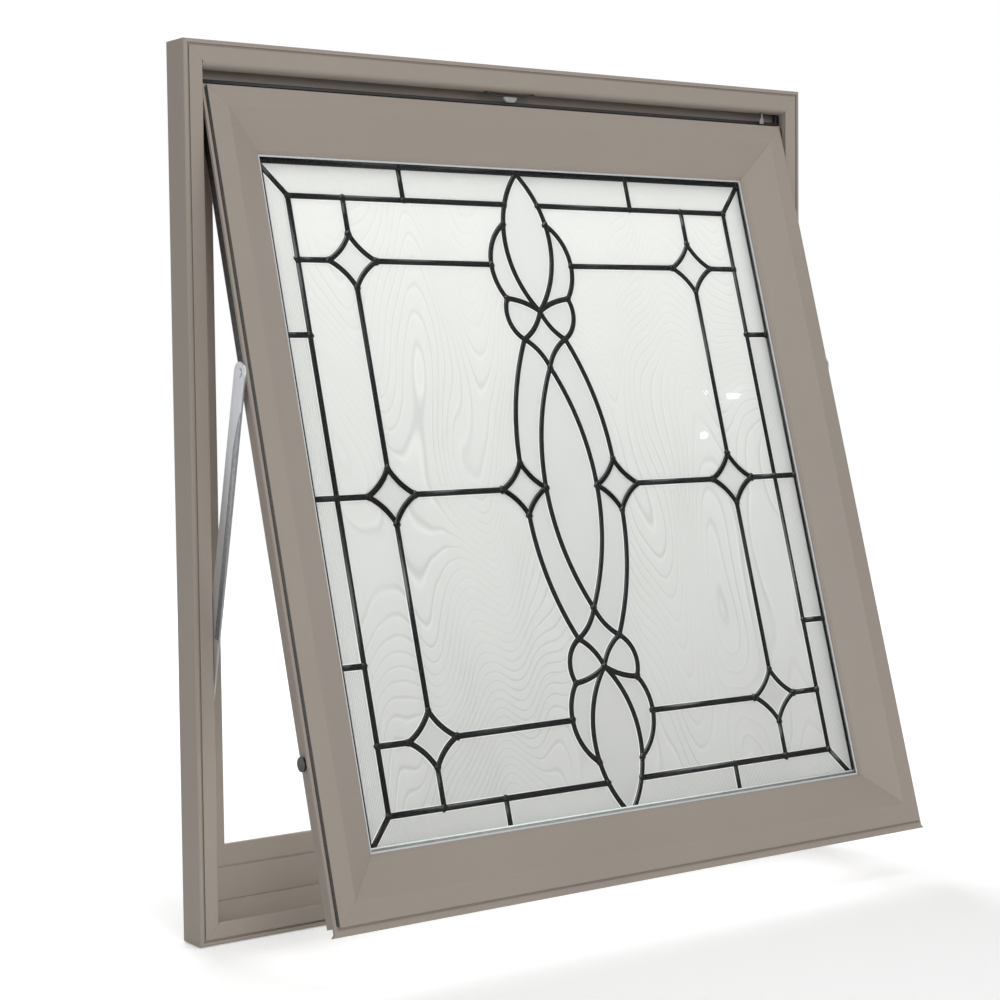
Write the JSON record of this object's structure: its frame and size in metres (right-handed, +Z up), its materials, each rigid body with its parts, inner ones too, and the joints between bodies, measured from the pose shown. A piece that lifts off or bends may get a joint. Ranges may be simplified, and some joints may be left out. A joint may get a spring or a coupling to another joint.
{
  "type": "decorative leaded glass window",
  "caption": "Top-hung metal window standing open on side stays, with a leaded panel of textured and bevelled glass sealed in its sash.",
  "frame": {"origin": "middle of the sill's bottom face, halfway through the frame's depth", "axes": "+Z up, +X to the right seen from outside, the outside faces -Y and the sash opens to -Y"},
  "size_m": [0.91, 0.2869, 1],
  "materials": {
    "coated_aluminium": "satin powder coat, warm grey",
    "stainless_steel": "brushed",
    "dark_steel": "dark, satin",
    "grey_plastic": "matte",
    "black_rubber": "matte",
    "spacer_metal": "satin",
    "lead_came": "dark patina with soft highlights",
    "clear_glass": "polished, clear",
    "reeded_glass": "fine reeded bevels",
    "grain_glass": "flowing wood-grain relief",
    "bevelled_glass": "polished bevels"
  },
  "bodies": {
    "root": {"frame_head": "coated_aluminium", "frame_sill": "coated_aluminium", "frame_jamb_left": "coated_aluminium", "frame_jamb_right": "coated_aluminium", "sill_upstand": "coated_aluminium", "sash_top_rail": "coated_aluminium", "sash_bottom_rail": "coated_aluminium", "sash_stile_left": "coated_aluminium", "sash_stile_right": "coated_aluminium", "glazing_bead_top": "coated_aluminium", "glazing_bead_bottom": "coated_aluminium", "glazing_bead_left": "coated_aluminium", "glazing_bead_right": "coated_aluminium", "hinge_track_left": "stainless_steel", "hinge_track_right": "stainless_steel", "stay_arm_left": "stainless_steel", "stay_arm_right": "stainless_steel", "stay_pins_left": "stainless_steel", "stay_pins_right": "stainless_steel", "sash_bar_left": "stainless_steel", "sash_bar_right": "stainless_steel", "head_bracket": "dark_steel", "lock_pin_left": "dark_steel", "lock_pin_right": "dark_steel", "head_block": "grey_plastic", "track_shoe_left": "grey_plastic", "track_shoe_right": "grey_plastic", "sash_seal": "black_rubber", "glazing_gasket": "black_rubber", "spacer_front": "spacer_metal", "spacer_back": "spacer_metal", "came_lattice": "lead_came", "outer_pane": "clear_glass", "inner_pane": "clear_glass", "border_glass": "reeded_glass", "field_glass": "grain_glass", "centre_glass": "bevelled_glass", "corner_bevels": "bevelled_glass"}
  },
  "joints": []
}
